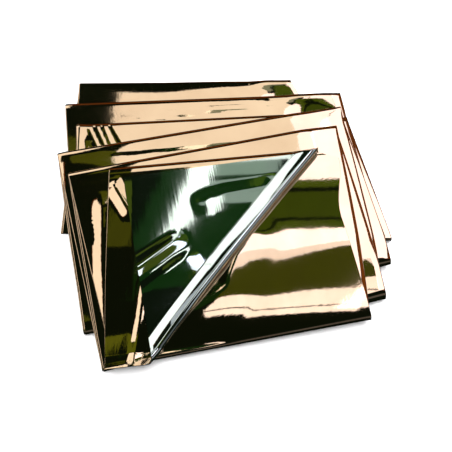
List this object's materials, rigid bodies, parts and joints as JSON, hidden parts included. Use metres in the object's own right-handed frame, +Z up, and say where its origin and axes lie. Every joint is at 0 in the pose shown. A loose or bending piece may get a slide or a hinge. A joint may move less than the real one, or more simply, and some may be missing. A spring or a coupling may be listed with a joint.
{
  "type": "folded emergency foil blanket",
  "caption": "Gold and silver film blanket folded back and forth into a fanned stack of layers, its free corner turned back to show the silver side.",
  "frame": {"origin": "middle of the footprint, on the surface that the folded blanket lies on", "axes": "+Z up, +X along the creases, +Y to the back of the stack, where the lower layers show"},
  "size_m": [0.3031, 0.3079, 0.0484],
  "materials": {
    "gold_film": "metallised polyester film, mirror bright with fine creases: gold on one side, silver on the other"
  },
  "bodies": {
    "root": {"foil_blanket": "gold_film"}
  },
  "joints": []
}
